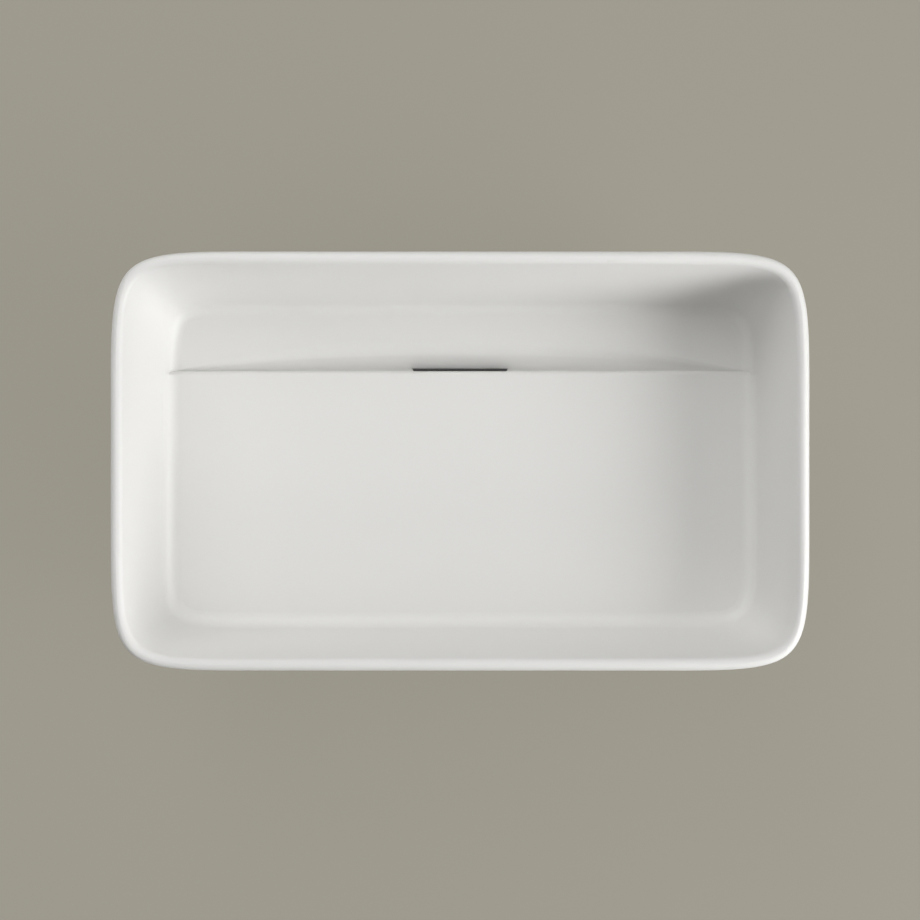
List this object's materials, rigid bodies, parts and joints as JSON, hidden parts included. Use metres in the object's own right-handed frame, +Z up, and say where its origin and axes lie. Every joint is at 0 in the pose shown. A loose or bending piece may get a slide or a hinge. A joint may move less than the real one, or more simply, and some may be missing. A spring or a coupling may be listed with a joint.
{
  "type": "countertop basin",
  "caption": "Rectangular ceramic countertop basin with a level floor, a rear channel and a concealed slot outlet, with its waste and fixings.",
  "frame": {"origin": "centre of the ceramic foot ring's underside, on the countertop's surface", "axes": "+X along the basin to the user's right, +Y to the back of the basin, +Z up out of the countertop"},
  "size_m": [0.6, 0.36, 0.206],
  "materials": {
    "glazed_ceramic": "white satin glaze",
    "dark_plastic": "moulded, matt anthracite",
    "stainless": "brushed stainless steel",
    "black_rubber": "moulded EPDM",
    "chromed_brass": "chrome plated brass",
    "grey_plastic": "moulded nylon",
    "zinc_steel": "zinc plated steel"
  },
  "bodies": {
    "basin": {"basin_body": "glazed_ceramic", "waste_flange": "stainless", "flange_seal": "black_rubber", "body_seal": "black_rubber", "waste_body": "chromed_brass", "clamp_screw": "stainless", "fixing_plugs": "grey_plastic", "fixing_studs": "zinc_steel", "fixing_rubber_washers": "black_rubber", "fixing_steel_washers": "zinc_steel", "fixing_nuts": "zinc_steel"},
    "comb": {"hair_comb": "dark_plastic"}
  },
  "joints": [
    {"name": "comb_slide", "type": "slide", "parent": "basin", "child": "comb", "axis": [0, 0.342, 0.9397], "range_m": [0, 0.032]}
  ]
}
